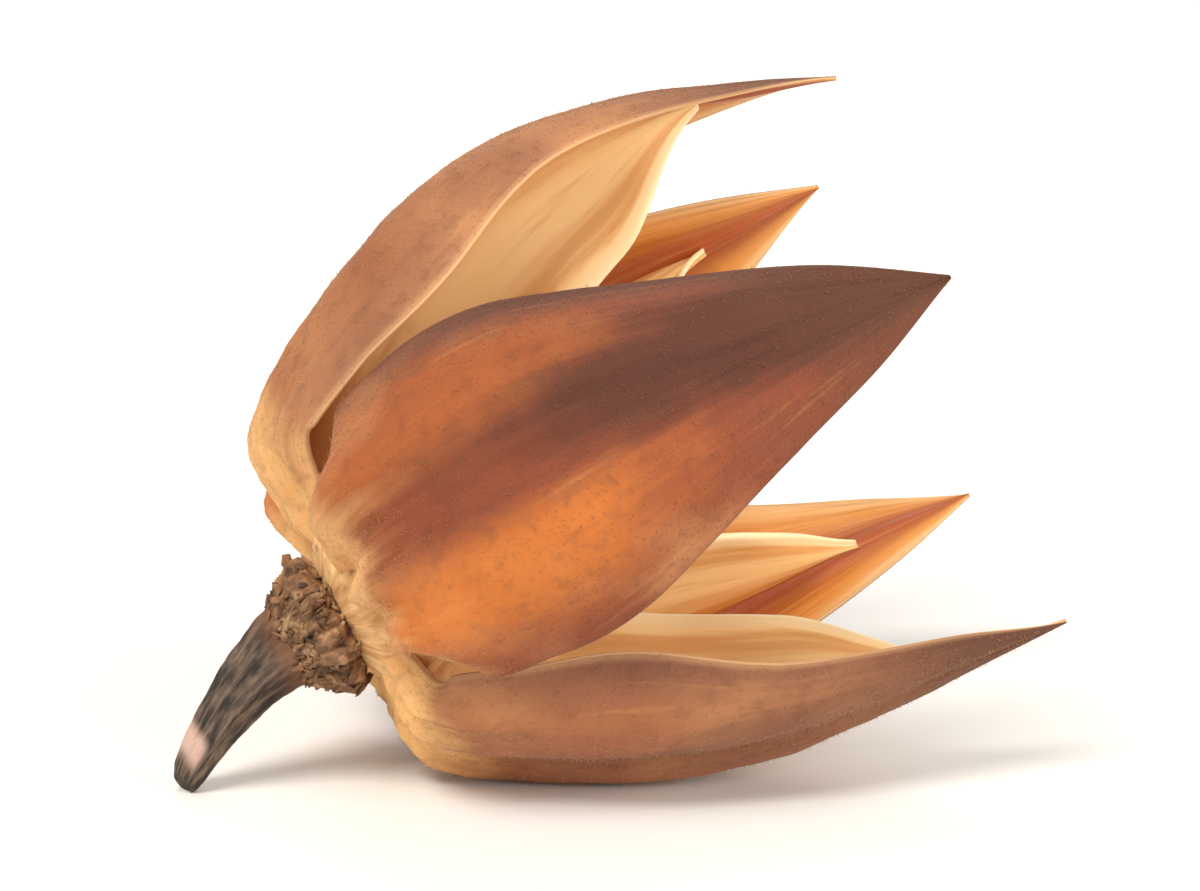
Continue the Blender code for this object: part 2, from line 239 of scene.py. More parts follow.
def stands_out(valve, share, across):
    """How far a valve's margin stands out where it is laid over its neighbour's."""
    margin = smooth_step((-across - 0.3) / 0.7)
    length = smooth_step(share / 0.14) * smooth_step((0.85 - share) / 0.4)
    return LAID_OVER.get(valve.name, 0.0) * margin * length


def valve_mesh(valve, rows=150, columns=64, rim=5):
    """The wall of one valve without its relief, with the places on it noted as attributes."""
    loop = wall_loop(columns, rim)
    across, depth, past = loop[:, None, :]
    share = np.linspace(0, 1, rows)[:, None]
    sheet, relief, fullness = valve_curve(valve, share, across)
    nearby = 0.01
    before, _, _ = valve_curve(valve, share, across - nearby)
    after, _, _ = valve_curve(valve, share, across + nearby)
    sheet = sheet + relief * stands_out(valve, share, across)[..., None]
    margin = smooth_step((np.abs(across) - 0.5) / 0.5)
    beak = smooth_step((share - BEAK_START) / (1 - BEAK_START))
    thickness = wall_at_middle(share) * (1 - THINNER_AT_MARGIN * margin) * (1 - THINNER_AT_BEAK * beak)
    outward = np.broadcast_to(relief, sheet.shape)
    notes = {
        "share": share,
        "across": across,
        "depth": depth,
        "rim": past,
        "body": smooth_step(share / BODY_START) * fullness,
        "fullness": fullness,
        "outward": outward,
        "ripeness": valve.ripeness,
        "bearing": (depth < 0.05) * smooth_step((share - 0.04) / 0.1),
    }
    lip = ROLLED_LIP * (1 - smooth_step((share - 0.85) / 0.15))
    return closed_wall("valve_" + valve.name, sheet, after - before, outward, loop, thickness, lip, notes)


def maths(tree, operation, *values):
    """A maths node in this tree, fed by plain numbers and by the outputs of other nodes."""
    node = tree.nodes.new("ShaderNodeMath")
    node.operation = operation
    for socket, value in zip(node.inputs, values):
        if isinstance(value, (int, float)):
            socket.default_value = value
        else:
            tree.links.new(value, socket)
    return node.outputs[0]


def product(tree, *values):
    """The product of these values, in this tree."""
    result = values[0]
    for value in values[1:]:
        result = maths(tree, "MULTIPLY", result, value)
    return result


def eased(tree, value, start, end, low=0.0, high=1.0):
    """A smooth step of the value from low at start to high at end."""
    node = tree.nodes.new("ShaderNodeMapRange")
    node.interpolation_type = "SMOOTHSTEP"
    tree.links.new(value, node.inputs["Value"])
    for label, number in (("From Min", start), ("From Max", end), ("To Min", low), ("To Max", high)):
        node.inputs[label].default_value = number
    return node.outputs["Result"]


def noted(tree, label, kind="FLOAT"):
    """An attribute of the piece, read in a geometry tree."""
    node = tree.nodes.new("GeometryNodeInputNamedAttribute")
    node.data_type = kind
    node.inputs["Name"].default_value = label
    return node.outputs["Attribute"]


def place_of(tree, *values):
    """A vector made of up to three values."""
    node = tree.nodes.new("ShaderNodeCombineXYZ")
    for socket, value in zip(node.inputs, values):
        tree.links.new(value, socket)
    return node.outputs[0]


def noise_at(tree, place, scale, detail, roughness=0.5):
    """Noise at this place, with a mean of 0.5."""
    node = tree.nodes.new("ShaderNodeTexNoise")
    node.inputs["Scale"].default_value = scale
    node.inputs["Detail"].default_value = detail
    node.inputs["Roughness"].default_value = roughness
    tree.links.new(place, node.inputs["Vector"])
    return node.outputs["Fac"]


def new_geometry_tree(name, inputs):
    """A geometry tree with these named inputs, and its group input and output nodes."""
    tree = bpy.data.node_groups.new(name, "GeometryNodeTree")
    tree.interface.new_socket("Geometry", in_out="INPUT", socket_type="NodeSocketGeometry")
    for label, kind, default in inputs:
        socket = tree.interface.new_socket(label, in_out="INPUT", socket_type=kind)
        if default is not None:
            socket.default_value = default
    tree.interface.new_socket("Geometry", in_out="OUTPUT", socket_type="NodeSocketGeometry")
    return tree, tree.nodes.new("NodeGroupInput").outputs, tree.nodes.new("NodeGroupOutput").inputs


def end_tree(tree, geometry, finish, result):
    """Makes what the tree has grown real, gives it its finish and puts it out."""
    real = tree.nodes.new("GeometryNodeRealizeInstances")
    tree.links.new(geometry, real.inputs[0])
    coat = tree.nodes.new("GeometryNodeSetMaterial")
    tree.links.new(real.outputs[0], coat.inputs["Geometry"])
    tree.links.new(finish, coat.inputs["Material"])
    tree.links.new(coat.outputs[0], result["Geometry"])


def valve_relief_tree():
    """Raises the lobes, groove, folds, crinkles and waved margins of a valve."""
    size = "NodeSocketFloat"
    tree, given, result = new_geometry_tree(
        "valve relief",
        (
            ("Lobe height", size, 0.5 * MM),
            ("Groove depth", size, GROOVE_DEPTH),
            ("Groove width", size, 0.17),
            ("Fold height", size, 0.36 * MM),
            ("Fold count", size, 3.5),
            ("Margin wave", size, 0.35 * MM),
            ("Margin turns", size, 13.0),
            ("Crinkle", size, 0.36 * MM),
            ("Wrinkle", size, 0.34 * MM),
            ("Phase", size, 0.0),
            ("Finish", "NodeSocketMaterial", None),
        ),
    )
    share, across = noted(tree, "share"), noted(tree, "across")
    body, fullness, depth = noted(tree, "body"), noted(tree, "fullness"), noted(tree, "depth")
    outer = maths(tree, "SUBTRACT", 1.0, depth)

    ridge = maths(tree, "SINE", maths(tree, "MULTIPLY", across, math.pi))
    lobes = product(tree, given["Lobe height"], body, fullness, maths(tree, "POWER", ridge, 2.0))

    margin = eased(tree, maths(tree, "ABSOLUTE", across), 0.45, 1.0)
    lag = maths(tree, "MULTIPLY", maths(tree, "SIGN", across), 2.0)
    turns = maths(tree, "MULTIPLY", given["Margin turns"], share)
    wave = maths(tree, "SINE", maths(tree, "ADD", maths(tree, "ADD", turns, given["Phase"]), lag))
    waves = product(tree, given["Margin wave"], body, margin, wave)

    reach = maths(tree, "ABSOLUTE", maths(tree, "DIVIDE", across, given["Groove width"]))
    trough = maths(tree, "EXPONENT", maths(tree, "MULTIPLY", maths(tree, "POWER", reach, 2.0), -1.0))
    groove = product(tree, given["Groove depth"], body, trough)

    root = product(tree, eased(tree, share, 0.0, 0.08), eased(tree, share, 0.12, 0.42, 1.0, 0.0))
    fold_turn = product(tree, given["Fold count"], across, math.pi)
    fold = maths(tree, "COSINE", maths(tree, "ADD", fold_turn, given["Phase"]))
    folds = product(tree, given["Fold height"], root, fold)

    patch = place_of(tree, product(tree, across, 5.0), product(tree, share, 9.0), given["Phase"])
    rough = maths(tree, "SUBTRACT", noise_at(tree, patch, 1.6, 4.0, 0.62), 0.5)
    where = maths(tree, "ADD", maths(tree, "MULTIPLY", root, 1.6), maths(tree, "MULTIPLY", body, 0.45))
    crinkles = product(tree, given["Crinkle"], rough, where)

    strip = place_of(tree, product(tree, across, 9.0), product(tree, share, 4.5), given["Phase"])
    dry = maths(tree, "SUBTRACT", noise_at(tree, strip, 1.3, 2.0), 0.5)
    length = product(tree, eased(tree, share, 0.04, 0.3), eased(tree, share, 0.8, 1.0, 1.0, 0.3))
    wrinkles = product(tree, given["Wrinkle"], dry, length)

    outside = maths(tree, "ADD", maths(tree, "ADD", folds, crinkles), wrinkles)
    inside_margin = eased(tree, maths(tree, "ABSOLUTE", across), 0.6, 0.95, 1.0, 0.1)
    outside = product(tree, outside, outer, inside_margin)
    bent = maths(tree, "SUBTRACT", maths(tree, "ADD", lobes, waves), groove)
    raised = maths(tree, "ADD", bent, outside)
    shift = tree.nodes.new("ShaderNodeVectorMath")
    shift.operation = "SCALE"
    tree.links.new(noted(tree, "outward", "FLOAT_VECTOR"), shift.inputs[0])
    tree.links.new(raised, shift.inputs["Scale"])
    move = tree.nodes.new("GeometryNodeSetPosition")
    tree.links.new(given["Geometry"], move.inputs["Geometry"])
    tree.links.new(shift.outputs[0], move.inputs["Offset"])
    end_tree(tree, move.outputs[0], given["Finish"], result)
    return tree


def strewn_tree():
    """Small spikes or chips strewn over the bearing places of a piece, leaning every way."""
    size, whole = "NodeSocketFloat", "NodeSocketInt"
    tree, given, result = new_geometry_tree(
        "strewn",
        (
            ("Per square metre", size, 1.0),
            ("Seed", whole, 0),
            ("Sides", whole, 3),
            ("Top width", size, 0.0),
            ("Size", "NodeSocketVector", None),
            ("Lean", size, 0.5),
            ("Finish", "NodeSocketMaterial", None),
        ),
    )
    spread = tree.nodes.new("GeometryNodeDistributePointsOnFaces")
    tree.links.new(given["Geometry"], spread.inputs["Mesh"])
    density = product(tree, given["Per square metre"], noted(tree, "bearing"))
    tree.links.new(density, spread.inputs["Density"])
    tree.links.new(given["Seed"], spread.inputs["Seed"])
    spike = tree.nodes.new("GeometryNodeMeshCone")
    spike.inputs["Radius Bottom"].default_value = 1.0
    spike.inputs["Depth"].default_value = 1.0
    tree.links.new(given["Sides"], spike.inputs["Vertices"])
    tree.links.new(given["Top width"], spike.inputs["Radius Top"])

    draws = []
    for low, high in ((-1.0, 1.0), (0.45, 1.25)):
        draw = tree.nodes.new("FunctionNodeRandomValue")
        draw.data_type = "FLOAT_VECTOR"
        draw.inputs["Min"].default_value = (low, low, low)
        draw.inputs["Max"].default_value = (high, high, high)
        tree.links.new(given["Seed"], draw.inputs["Seed"])
        draws.append(draw.outputs["Value"])
    steps = []
    for operation in ("SCALE", "ADD", "MULTIPLY"):
        step = tree.nodes.new("ShaderNodeVectorMath")
        step.operation = operation
        steps.append(step)
    tilt, way, stretch = steps
    tree.links.new(draws[0], tilt.inputs[0])
    tree.links.new(given["Lean"], tilt.inputs["Scale"])
    tree.links.new(spread.outputs["Normal"], way.inputs[0])
    tree.links.new(tilt.outputs[0], way.inputs[1])
    tree.links.new(given["Size"], stretch.inputs[0])
    tree.links.new(draws[1], stretch.inputs[1])
    turn = tree.nodes.new("FunctionNodeAlignRotationToVector")
    tree.links.new(way.outputs[0], turn.inputs["Vector"])

    stand = tree.nodes.new("GeometryNodeInstanceOnPoints")
    tree.links.new(spread.outputs["Points"], stand.inputs["Points"])
    tree.links.new(spike.outputs["Mesh"], stand.inputs["Instance"])
    tree.links.new(turn.outputs[0], stand.inputs["Rotation"])
    tree.links.new(stretch.outputs[0], stand.inputs["Scale"])
    end_tree(tree, stand.outputs[0], given["Finish"], result)
    return tree


def new_piece(name, mesh):
    """An object of this mesh, in the scene."""
    made = bpy.data.objects.new(name, mesh)
    bpy.context.scene.collection.objects.link(made)
    return made


def grown(name, mesh, tree, sizes):
    """The mesh that a geometry tree makes of this one with these sizes, as a plain object."""
    made = new_piece(name, mesh)
    growth = made.modifiers.new("growth", "NODES")
    growth.node_group = tree
    sockets = {item.name: item.identifier for item in tree.interface.items_tree if item.in_out == "INPUT"}
    for label, value in sizes.items():
        growth[sockets[label]] = value
    bpy.context.view_layer.update()
    graph = bpy.context.evaluated_depsgraph_get()
    whole = bpy.data.meshes.new_from_object(made.evaluated_get(graph))
    made.modifiers.clear()
    made.data = whole
    return made


def laid_piece(made, node):
    """Lays a piece down inside the CAD's box, faces outwards, and gives it its place on the frame."""
    work = bmesh.new()
    work.from_mesh(made.data)
    work.transform(laid_down)
    for corner in work.verts:
        corner.co = [min(max(v, low), high) for v, low, high in zip(corner.co, *cad_box)]
    bmesh.ops.recalc_face_normals(work, faces=work.faces)
    work.to_mesh(made.data)
    work.free()
    made.data.shade_smooth()
    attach(made, "root")
    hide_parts(node)


def colour_of(red, green, blue):
    """A colour read off the dry pod, from 0 to 255, as the shader takes it."""
    light = [v / 255 for v in (red, green, blue)]
    return tuple(v / 12.92 if v < 0.04045 else ((v + 0.055) / 1.055) ** 2.4 for v in light) + (1.0,)


def mixed(tree, factor, first, second):
    """Colour first where the factor is 0 and second where it is 1."""
    node = tree.nodes.new("ShaderNodeMix")
    node.data_type = "RGBA"
    tree.links.new(factor, node.inputs["Factor"])
    places = [socket for socket in node.inputs if socket.type == "RGBA"]
    for socket, value in zip(places, (first, second)):
        if isinstance(value, tuple):
            socket.default_value = value
        else:
            tree.links.new(value, socket)
    return next(socket for socket in node.outputs if socket.type == "RGBA")


def mark(tree, label):
    """An attribute of the piece, read in a material."""
    node = tree.nodes.new("ShaderNodeAttribute")
    node.attribute_name = label
    return node.outputs["Fac"]


def dry_tissue_group():
    """Fibres along a piece, fine grain and wide blotches, as masks, and the height of the first two."""
    tree = bpy.data.node_groups.new("dry tissue", "ShaderNodeTree")
    for label in ("Along", "Across", "Fibres", "Stretch", "Grain"):
        tree.interface.new_socket(label, in_out="INPUT", socket_type="NodeSocketFloat")
    for label in ("Fibre", "Grain", "Blotch", "Height"):
        tree.interface.new_socket(label, in_out="OUTPUT", socket_type="NodeSocketFloat")
    given = tree.nodes.new("NodeGroupInput").outputs
    result = tree.nodes.new("NodeGroupOutput").inputs
    over = product(tree, given["Across"], given["Fibres"])
    along = product(tree, given["Along"], given["Stretch"])
    fibre = noise_at(tree, place_of(tree, over, along), 1.0, 4.0, 0.55)
    spot = tree.nodes.new("ShaderNodeTexCoord").outputs["Object"]
    grain = noise_at(tree, spot, 1.0, 3.0)
    tree.links.new(given["Grain"], grain.node.inputs["Scale"])
    height = maths(tree, "ADD", product(tree, fibre, 0.7), product(tree, grain, 0.3))
    tree.links.new(fibre, result["Fibre"])
    tree.links.new(grain, result["Grain"])
    tree.links.new(noise_at(tree, spot, 170.0, 2.5), result["Blotch"])
    tree.links.new(height, result["Height"])
    return tree


dry_tissue = dry_tissue_group()


def new_finish(name, roughness, glow, glow_depth):
    """A material with a Principled shader whose light also passes a little way through the tissue."""
    finish = bpy.data.materials.new(name)
    finish.use_nodes = True
    shader = finish.node_tree.nodes["Principled BSDF"]
    shader.inputs["Roughness"].default_value = roughness
    shader.inputs["Subsurface Weight"].default_value = glow
    shader.inputs["Subsurface Radius"].default_value = (1.0, 0.55, 0.25)
    shader.inputs["Subsurface Scale"].default_value = glow_depth
    return finish, finish.node_tree, shader


def tissue(tree, along, across, fibres, stretch, grain):
    """The dry tissue group placed in this material."""
    node = tree.nodes.new("ShaderNodeGroup")
    node.node_tree = dry_tissue
    for label, value in (("Along", along), ("Across", across)):
        tree.links.new(value, node.inputs[label])
    for label, value in (("Fibres", fibres), ("Stretch", stretch), ("Grain", grain)):
        node.inputs[label].default_value = value
    return node.outputs


def bumped(tree, shader, height, strength, distance):
    """Fine relief of the finish, given to the shader as its normal."""
    node = tree.nodes.new("ShaderNodeBump")
    node.inputs["Strength"].default_value = strength
    node.inputs["Distance"].default_value = distance
    tree.links.new(height, node.inputs["Height"])
    tree.links.new(node.outputs["Normal"], shader.inputs["Normal"])


PALE_SKIN = colour_of(156, 104, 72)
RIPE_SKIN = colour_of(130, 60, 28)
PALE_BLOTCH = colour_of(208, 146, 94)
DARK_BLOTCH = colour_of(114, 60, 38)
AMBER_LOBE_AND_PAINTED_HIGHLIGHT = colour_of(200, 112, 38)
DARK_BEAK_AND_PAINTED_GROOVE_SHADE = colour_of(74, 34, 20)
BEAK_TIP = colour_of(88, 50, 32)
DARK_SEAM = colour_of(84, 44, 28)
TAN_ROOT = colour_of(234, 182, 118)
PALE_FIBRE = colour_of(224, 166, 104)
DARK_FIBRE = colour_of(88, 48, 28)
DARK_GRAIN = colour_of(82, 46, 26)
DEEP_LINING = colour_of(158, 72, 20)
AMBER_LINING = colour_of(210, 138, 62)
LINING_MARGIN = colour_of(230, 184, 124)
LINING_PALE_FIBRE = colour_of(236, 184, 112)
LINING_DARK_FIBRE = colour_of(126, 58, 20)
PALE_LIP = colour_of(226, 180, 130)
RIPE_LIP = colour_of(96, 56, 38)
PALE_DOWN = colour_of(226, 178, 126)
OLD_DOWN = colour_of(156, 108, 76)


def valve_finish():
    """Matt brown outside with amber lobes that carry a painted highlight, a dark beak with painted shade
    down its groove, and a tan root. Amber and satin inside.
    """
    finish, tree, shader = new_finish("dried valve", 0.75, 0.1, 0.35 * MM)
    shader.inputs["Sheen Weight"].default_value = 0.04
    share, across, depth = mark(tree, "share"), mark(tree, "across"), mark(tree, "depth")
    ripe, rim = mark(tree, "ripeness"), mark(tree, "rim")
    dry = tissue(tree, share, across, 10.0, 3.0, 1700.0)
    off_middle = maths(tree, "ABSOLUTE", across)
    uneven = maths(tree, "SUBTRACT", dry["Fibre"], 0.5)
    blotch = maths(tree, "SUBTRACT", dry["Blotch"], 0.5)
    ragged = maths(tree, "ADD", maths(tree, "MULTIPLY", uneven, 0.45), maths(tree, "MULTIPLY", blotch, 1.3))

    skin = mixed(tree, ripe, PALE_SKIN, RIPE_SKIN)
    skin = mixed(tree, eased(tree, blotch, 0.0, 0.16, 0.0, 0.4), skin, PALE_BLOTCH)
    skin = mixed(tree, eased(tree, blotch, 0.0, -0.16, 0.0, 0.5), skin, DARK_BLOTCH)

    # The amber on the lobes is partly the tissue's own amber and partly a painted highlight on the lobes'
    # tops, stronger on the lower lobe.
    lobe = product(tree, eased(tree, off_middle, 0.1, 0.4), eased(tree, off_middle, 0.6, 0.95, 1.0, 0.0))
    lit = maths(tree, "ADD", share, maths(tree, "MULTIPLY", ragged, 0.5))
    amber = product(tree, lobe, eased(tree, lit, 0.08, 0.24), eased(tree, lit, 0.4, 0.66, 1.0, 0.0))
    amber = product(tree, amber, maths(tree, "ADD", maths(tree, "MULTIPLY", ripe, 0.75), 0.1))
    amber = product(tree, amber, eased(tree, across, -0.35, 0.1, 0.38, 0.9))
    skin = mixed(tree, amber, skin, AMBER_LOBE_AND_PAINTED_HIGHLIGHT)

    # The dark wedge is partly the beak's own dark colour and partly painted shade down the middle groove.
    aside = maths(tree, "ABSOLUTE", maths(tree, "ADD", across, 0.16))
    spread = product(tree, maths(tree, "SUBTRACT", share, 0.38), 1.3)
    wedge = maths(tree, "ADD", maths(tree, "SUBTRACT", aside, spread), product(tree, ragged, -0.8))
    dark = maths(tree, "ADD", maths(tree, "MULTIPLY", ripe, 0.5), 0.4)
    beak = product(tree, eased(tree, wedge, 0.28, -0.14), eased(tree, share, 0.24, 0.5), dark)
    skin = mixed(tree, beak, skin, DARK_BEAK_AND_PAINTED_GROOVE_SHADE)
    tip = eased(tree, maths(tree, "ADD", share, maths(tree, "MULTIPLY", ragged, 0.2)), 0.72, 0.95, 0.0, 0.8)
    skin = mixed(tree, tip, skin, BEAK_TIP)
    seam = product(tree, eased(tree, across, -0.62, -0.96), eased(tree, share, 0.12, 0.5), dark)
    skin = mixed(tree, seam, skin, DARK_SEAM)

    root = eased(tree, maths(tree, "ADD", share, maths(tree, "MULTIPLY", ragged, 0.4)), 0.1, 0.26, 1.0, 0.0)
    skin = mixed(tree, product(tree, root, 0.9), skin, TAN_ROOT)
    pale = product(tree, eased(tree, uneven, 0.05, 0.3, 0.0, 0.25), maths(tree, "SUBTRACT", 1.0, beak))
    skin = mixed(tree, pale, skin, PALE_FIBRE)
    skin = mixed(tree, eased(tree, uneven, -0.05, -0.3, 0.0, 0.35), skin, DARK_FIBRE)
    skin = mixed(tree, eased(tree, dry["Grain"], 0.5, 0.7, 0.0, 0.22), skin, DARK_GRAIN)

    outer = eased(tree, off_middle, 0.1, 0.75)
    lining = mixed(tree, outer, DEEP_LINING, AMBER_LINING)
    lining = mixed(tree, eased(tree, off_middle, 0.7, 1.0), lining, LINING_MARGIN)
    lining = mixed(tree, eased(tree, uneven, 0.0, 0.3, 0.0, 0.4), lining, LINING_PALE_FIBRE)
    lining = mixed(tree, eased(tree, uneven, -0.03, -0.25, 0.0, 0.4), lining, LINING_DARK_FIBRE)

    surface = mixed(tree, eased(tree, depth, 0.3, 0.7), skin, lining)
    lip = mixed(tree, ripe, PALE_LIP, RIPE_LIP)
    margin = product(tree, eased(tree, off_middle, 0.95, 1.0), 0.4)
    edge = maths(tree, "MAXIMUM", eased(tree, rim, 0.0, 0.6), margin)
    surface = mixed(tree, product(tree, edge, eased(tree, share, 0.5, 0.95, 0.85, 0.35)), surface, lip)
    tree.links.new(surface, shader.inputs["Base Color"])
    matt = maths(tree, "ADD", eased(tree, depth, 0.4, 0.8, 0.82, 0.42), product(tree, uneven, 0.2))
    tree.links.new(matt, shader.inputs["Roughness"])
    bumped(tree, shader, dry["Height"], 0.55, 0.12 * MM)
    return finish


def down_finish():
    """Short dry hairs, pale on the root and browner towards the beak."""
    finish, tree, shader = new_finish("dry down", 0.7, 0.0, 0.1 * MM)
    share, ripe = mark(tree, "share"), mark(tree, "ripeness")
    dark = maths(tree, "ADD", product(tree, ripe, 0.6), 0.4)
    aged = product(tree, eased(tree, share, 0.08, 0.45), dark)
    hair = mixed(tree, aged, PALE_DOWN, OLD_DOWN)
    tree.links.new(hair, shader.inputs["Base Color"])
    return finish


# The down on the outside: hairs by the square metre, their width and length, and how far they lean.
DOWN = {"Per square metre": 2.4e7, "Size": (0.011 * MM, 0.011 * MM, 0.16 * MM), "Lean": 0.75}
valve_coat = valve_finish()
down_coat = down_finish()
valve_relief = valve_relief_tree()
strewn = strewn_tree()
for seed, valve in enumerate(VALVES):
    relief = {"Phase": valve.phase, "Finish": valve_coat}
    wall = grown("valve_" + valve.name, valve_mesh(valve), valve_relief, relief)
    hairs = {**DOWN, "Seed": seed, "Finish": down_coat}
    down = grown("down_" + valve.name, wall.data.copy(), strewn, hairs)
    laid_piece(wall, "capsule")
    laid_piece(down, "capsule")

# The septa: one thin, D-shaped plate on the middle line inside each valve, grown with it. They met in
# the pod's axis before it split. They are cream and papery, amber where they join the wall, with a
# paler free edge that ends a little short of the beak.
SEPTUM_WALL = 0.34 * MM
THICKER_AT_ROOT = 1.25
THINNER_AT_EDGE = 0.45
THINNER_AT_TOP = 0.6
SEPTUM_LIP = 0.16 * MM
SEPTUM_LOW = 0.4 * MM
SEPTUM_BEND_HEIGHT = 13.0 * MM
SEPTUM_TOP = 18.8 * MM
SEPTUM_INSET = 0.35 * MM
SEPTUM_ROOT_IN_WALL = 0.85
SEPTUM_END = 0.05 * MM
SEPTUM_WAVE = 0.3 * MM
SEPTUM_RIPPLE = 0.09 * MM
PAPER = colour_of(244, 204, 140)
PAPER_AT_WALL = colour_of(204, 130, 54)
PALE_VEIN = colour_of(240, 208, 158)
DARK_VEIN = colour_of(182, 122, 62)
AMBER_PAINTED_EDGE_SHADE = colour_of(206, 136, 60)
FREE_EDGE = colour_of(242, 214, 170)
BROWN_SPECK = colour_of(92, 48, 26)


def septum_mesh(valve, rows=110, columns=34, rim=5):
    """The septum of one valve, from the wall to its free edge."""
    share, radius, height = closed_line(valve)
    level = np.linspace(SEPTUM_LOW, SEPTUM_TOP, rows)
    share = np.interp(level, height, share)
    depth = (np.interp(level, height, radius) - SEPTUM_INSET) * valve.length
    place, normal = line_frame(valve, share)
    _, _, fullness = valve_curve(valve, share[:, None], np.zeros((1, 1)))
    groove = GROOVE_DEPTH * smooth_step(share / BODY_START) * fullness[:, 0]
    root = place - normal * (groove + SEPTUM_ROOT_IN_WALL * wall_at_middle(share))
    turn = turn_along(valve, share)
    straight = place + depth * np.stack([-np.cos(turn), np.sin(turn)])
    rounding = np.clip((level - SEPTUM_BEND_HEIGHT) / (SEPTUM_TOP - SEPTUM_BEND_HEIGHT), 0, 1) ** 2
    edge = straight * (1 - rounding) + (root - normal * SEPTUM_END) * rounding

    loop = wall_loop(columns, rim)
    across, _, past = loop[:, None, :]
    inward = (across + 1) / 2
    root, edge = root[:, :, None], edge[:, :, None]
    radial, upright = root * (1 - inward) + edge * inward
    share = share[:, None]
    wave = SEPTUM_WAVE * np.sin(math.pi * inward) * np.sin(4.0 * share + valve.phase)
    wave = wave + SEPTUM_RIPPLE * inward**2 * np.sin(31 * share + 3 * valve.phase + 2 * inward)
    wall = SEPTUM_WALL * (1 - THINNER_AT_TOP * rounding[:, None])
    middle = wave + valve.sweep * MM * share**2
    sheet = around_axis(radial, middle + wall / 2, upright, valve.azimuth)
    along, up = edge - root + 0 * wave
    side = around_axis(along, 0 * wave, up, valve.azimuth)
    sideways = around_axis(0 * wave, 1 + 0 * wave, 0 * wave, valve.azimuth)
    thickness = wall * (THICKER_AT_ROOT - THINNER_AT_EDGE * inward)
    notes = {"share": share, "inward": inward, "rim": past * (across > 0)}
    return closed_wall("septum_" + valve.name, sheet, side, sideways, loop, thickness, SEPTUM_LIP, notes)


def septum_finish():
    """Cream paper with fine lengthwise veins, amber along the wall and dark specks near it."""
    finish, tree, shader = new_finish("septum paper", 0.55, 0.3, 0.6 * MM)
    share, inward, rim = mark(tree, "share"), mark(tree, "inward"), mark(tree, "rim")
    dry = tissue(tree, share, inward, 9.0, 4.0, 1600.0)
    uneven = maths(tree, "SUBTRACT", dry["Fibre"], 0.5)
    ragged = maths(tree, "ADD", inward, maths(tree, "MULTIPLY", uneven, 0.3))
    paper = mixed(tree, eased(tree, ragged, 0.0, 0.42), PAPER_AT_WALL, PAPER)
    paper = mixed(tree, eased(tree, uneven, 0.0, 0.3, 0.0, 0.6), paper, PALE_VEIN)
    paper = mixed(tree, eased(tree, uneven, -0.04, -0.28, 0.0, 0.5), paper, DARK_VEIN)
    # A band of painted shade, amber in colour, runs just inside the paler free edge.
    edge_shade = product(tree, eased(tree, ragged, 0.6, 0.76), eased(tree, ragged, 0.8, 0.92, 1.0, 0.0))
    edge_shade = product(tree, edge_shade, eased(tree, share, 0.2, 0.45), 0.65)
    paper = mixed(tree, edge_shade, paper, AMBER_PAINTED_EDGE_SHADE)
    edge = maths(tree, "MAXIMUM", eased(tree, inward, 0.86, 1.0, 0.0, 0.7), eased(tree, rim, 0.0, 0.5))
    paper = mixed(tree, edge, paper, FREE_EDGE)
    spot = tree.nodes.new("ShaderNodeTexCoord")
    specks = tree.nodes.new("ShaderNodeTexVoronoi")
    specks.inputs["Scale"].default_value = 900.0
    tree.links.new(spot.outputs["Object"], specks.inputs["Vector"])
    near_wall = eased(tree, inward, 0.1, 0.5, 1.0, 0.0)
    near_root = eased(tree, share, 0.1, 0.6, 1.0, 0.2)
    speck = eased(tree, specks.outputs["Distance"], 0.12, 0.3, 1.0, 0.0)
    speck = product(tree, speck, near_wall, near_root, 0.7)
    paper = mixed(tree, speck, paper, BROWN_SPECK)
    tree.links.new(paper, shader.inputs["Base Color"])
    tree.links.new(maths(tree, "ADD", product(tree, uneven, 0.3), 0.56), shader.inputs["Roughness"])
    bumped(tree, shader, dry["Height"], 0.4, 0.08 * MM)
    return finish


septum_coat = septum_finish()
for valve in VALVES:
    plate = new_piece("septum_" + valve.name, septum_mesh(valve))
    plate.data.materials.append(septum_coat)
    laid_piece(plate, "capsule")

# The floor of the pod: the pinched place where the valves and septa grow together. It is cream-tan
# and drawn into folds that run out to the seams. Its profile is given as radius and height, in mm.
FLOOR_PROFILE = ((0.0, -0.6), (1.7, -0.6), (2.7, -0.15), (3.5, 1.0), (3.0, 1.9), (1.8, 2.6), (0.0, 2.9))
FLOOR_PINCH = 0.22 * MM
FLOOR_RIPPLE = 0.14 * MM
FLOOR_FINE_RIPPLE = 0.08 * MM
FLOOR_SUNK = 0.12 * MM
FLOOR_TAN = colour_of(240, 198, 140)
FLOOR_FOLD = colour_of(202, 144, 88)
FLOOR_SPECK = colour_of(128, 78, 46)


def skin_over(name, work, circles, poles, note):
    """A mesh of these circles joined each to the next, and closed at a pole beyond both ends."""
    sides = len(circles[0])
    for low, high in zip(circles, circles[1:]):
        for j in range(sides):
            k = (j + 1) % sides
            work.faces.new((low[j], low[k], high[k], high[j]))
    for circle, (place, share) in zip((circles[0], circles[-1]), poles):
        pole = work.verts.new(place)
        pole[note] = share
        for j in range(sides):
            work.faces.new((circle[j], circle[(j + 1) % sides], pole))
    bmesh.ops.recalc_face_normals(work, faces=work.faces)
    mesh = bpy.data.meshes.new(name)
    work.to_mesh(mesh)
    work.free()
    return mesh


